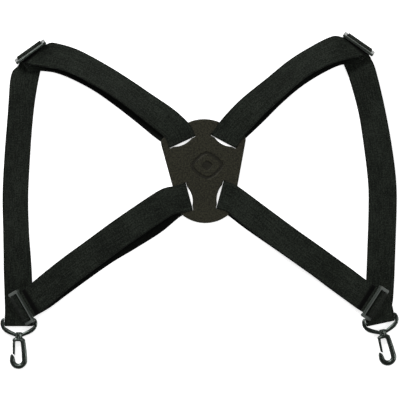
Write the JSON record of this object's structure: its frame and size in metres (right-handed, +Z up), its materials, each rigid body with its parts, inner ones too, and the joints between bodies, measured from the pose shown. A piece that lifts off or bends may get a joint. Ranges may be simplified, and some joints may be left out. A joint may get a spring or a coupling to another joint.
{
  "type": "shoulder harness",
  "caption": "Shoulder harness with a back plate, elastic webbing straps, three-bar sliders and swivel snap hooks for carrying a wind instrument.",
  "frame": {"origin": "middle of the bounding box's bottom face, with the harness lying flat and its front face up", "axes": "+X across the harness towards the strap on the right in the front view, +Y towards the shoulder sliders, +Z up out of the front face"},
  "size_m": [0.5604, 0.4751, 0.0289],
  "materials": {
    "leather": "satin dark brown-black leather",
    "webbing": "fine woven elastic webbing, black",
    "thread": "black sewing thread",
    "slider_plastic": "moulded black acetal, semi-gloss",
    "hook_plastic": "moulded black acetal, semi-gloss",
    "gate_plastic": "moulded black acetal, semi-gloss",
    "pin_steel": "plain steel pin"
  },
  "bodies": {
    "root": {"back_plate": "leather", "left_upper_slot_turn": "webbing", "left_lower_slot_turn": "webbing", "left_upper_front_inner": "webbing", "left_upper_back_inner": "webbing", "left_lower_front_inner": "webbing", "left_lower_back_inner": "webbing", "right_upper_slot_turn": "webbing", "right_lower_slot_turn": "webbing", "right_upper_front_inner": "webbing", "right_upper_back_inner": "webbing", "right_lower_front_inner": "webbing", "right_lower_back_inner": "webbing"},
    "left_wing": {"left_upper_front_outer": "webbing", "left_upper_back_outer": "webbing", "left_lower_front_outer": "webbing", "left_lower_back_outer": "webbing", "left_lower_front_feed": "webbing", "left_lower_back_feed": "webbing", "left_side_run": "webbing", "left_hook_turn": "webbing", "left_fan_run": "webbing"},
    "left_upper_adjuster": {"left_upper_slider": "slider_plastic", "left_upper_weave": "webbing", "left_upper_sewn_end": "webbing", "sewing_left_upper": "thread"},
    "left_lower_adjuster": {"left_lower_slider": "slider_plastic", "left_lower_weave": "webbing", "left_lower_sewn_end": "webbing", "sewing_left_lower": "thread"},
    "left_loop": {"left_swivel_loop": "hook_plastic"},
    "left_snap_hook": {"left_hook": "hook_plastic", "left_gate_pin": "pin_steel"},
    "left_hook_gate": {"left_gate": "gate_plastic"},
    "right_wing": {"right_upper_front_outer": "webbing", "right_upper_back_outer": "webbing", "right_lower_front_outer": "webbing", "right_lower_back_outer": "webbing", "right_lower_front_feed": "webbing", "right_lower_back_feed": "webbing", "right_side_run": "webbing", "right_hook_turn": "webbing", "right_fan_run": "webbing"},
    "right_upper_adjuster": {"right_upper_slider": "slider_plastic", "right_upper_weave": "webbing", "right_upper_sewn_end": "webbing", "sewing_right_upper": "thread"},
    "right_lower_adjuster": {"right_lower_slider": "slider_plastic", "right_lower_weave": "webbing", "right_lower_sewn_end": "webbing", "sewing_right_lower": "thread"},
    "right_loop": {"right_swivel_loop": "hook_plastic"},
    "right_snap_hook": {"right_hook": "hook_plastic", "right_gate_pin": "pin_steel"},
    "right_hook_gate": {"right_gate": "gate_plastic"}
  },
  "joints": [
    {"name": "left_wing_fold", "type": "hinge", "parent": "root", "child": "left_wing", "pos_m": [-0.075, 0, 0.024], "axis": [0, 1, 0], "range_deg": [0, 90]},
    {"name": "left_upper_adjust", "type": "slide", "parent": "left_wing", "child": "left_upper_adjuster", "axis": [-0.5821, 0.8131, 0], "range_m": [0, 0.03]},
    {"name": "left_lower_adjust", "type": "slide", "parent": "left_wing", "child": "left_lower_adjuster", "axis": [0.8678, 0.497, 0], "range_m": [0, 0.025], "deforming": ["left_lower_front_feed", "left_lower_back_feed"]},
    {"name": "left_loop_tilt", "type": "hinge", "parent": "left_wing", "child": "left_loop", "pos_m": [-0.2554, -0.1736, 0.005], "axis": [-1, 0, 0], "range_deg": [0, 45]},
    {"name": "left_hook_swivel", "type": "hinge", "parent": "left_loop", "child": "left_snap_hook", "pos_m": [-0.2554, -0.1736, 0.005], "axis": [0, -1, 0], "continuous": true},
    {"name": "left_gate_open", "type": "hinge", "parent": "left_snap_hook", "child": "left_hook_gate", "pos_m": [-0.262, -0.196, 0.005], "axis": [0, 0, 1], "range_deg": [0, 18], "stiffness_Nm_per_rad": 0.02, "springref_deg": -11.46},
    {"name": "right_wing_fold", "type": "hinge", "parent": "root", "child": "right_wing", "pos_m": [0.077, 0, 0.024], "axis": [0, -1, 0], "range_deg": [0, 90]},
    {"name": "right_upper_adjust", "type": "slide", "parent": "right_wing", "child": "right_upper_adjuster", "axis": [0.5693, 0.8221, 0], "range_m": [0, 0.03]},
    {"name": "right_lower_adjust", "type": "slide", "parent": "right_wing", "child": "right_lower_adjuster", "axis": [-0.8415, 0.5402, 0], "range_m": [0, 0.025], "deforming": ["right_lower_front_feed", "right_lower_back_feed"]},
    {"name": "right_loop_tilt", "type": "hinge", "parent": "right_wing", "child": "right_loop", "pos_m": [0.2542, -0.17, 0.005], "axis": [-0.9781, -0.2079, 0], "range_deg": [0, 45]},
    {"name": "right_hook_swivel", "type": "hinge", "parent": "right_loop", "child": "right_snap_hook", "pos_m": [0.2542, -0.17, 0.005], "axis": [0.2079, -0.9781, 0], "continuous": true},
    {"name": "right_gate_open", "type": "hinge", "parent": "right_snap_hook", "child": "right_hook_gate", "pos_m": [0.2524, -0.19328, 0.005], "axis": [0, 0, 1], "range_deg": [0, 18], "stiffness_Nm_per_rad": 0.02, "springref_deg": -11.46}
  ]
}
